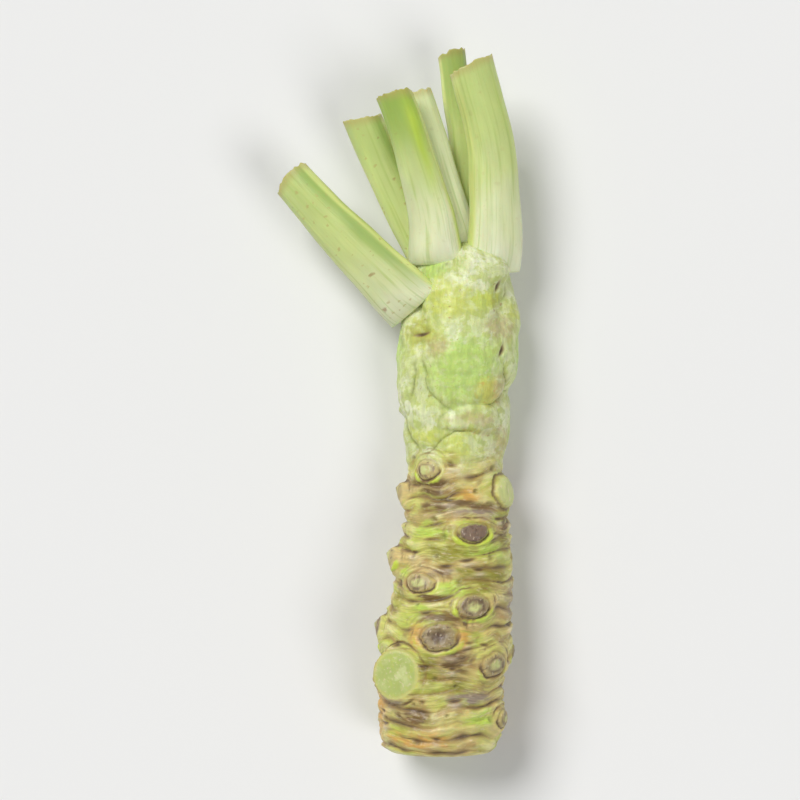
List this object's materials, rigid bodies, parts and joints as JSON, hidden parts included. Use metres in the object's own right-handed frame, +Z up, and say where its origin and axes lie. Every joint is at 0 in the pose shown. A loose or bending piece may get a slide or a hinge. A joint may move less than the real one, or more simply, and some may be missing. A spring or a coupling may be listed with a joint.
{
  "type": "wasabi root",
  "caption": "Trimmed fresh wasabi root lying on its side: a knobbly ringed rhizome with a flat cut foot and cut leaf stalks fanning from its crown.",
  "frame": {"origin": "on the surface that the root lies on, under the middle of its whole footprint", "axes": "+Y along the root from the cut foot towards the leaf stalks, +Z up, +X to the right seen from above with the stalks away from the viewer"},
  "size_m": [0.0524, 0.151, 0.0265],
  "materials": {
    "rhizome_skin": "moist olive and tan skin with dark creases, pale green where it was trimmed",
    "leaf_stalk": "smooth moist pale green plant skin with fine lengthwise veins"
  },
  "bodies": {
    "root": {"rhizome": "rhizome_skin", "petiole_front_left": "leaf_stalk", "petiole_front_middle": "leaf_stalk", "petiole_front_right": "leaf_stalk", "petiole_inner_left": "leaf_stalk", "petiole_inner_middle": "leaf_stalk", "petiole_inner_right": "leaf_stalk", "petiole_under_left": "leaf_stalk", "petiole_under_middle": "leaf_stalk", "petiole_under_right": "leaf_stalk"}
  },
  "joints": []
}
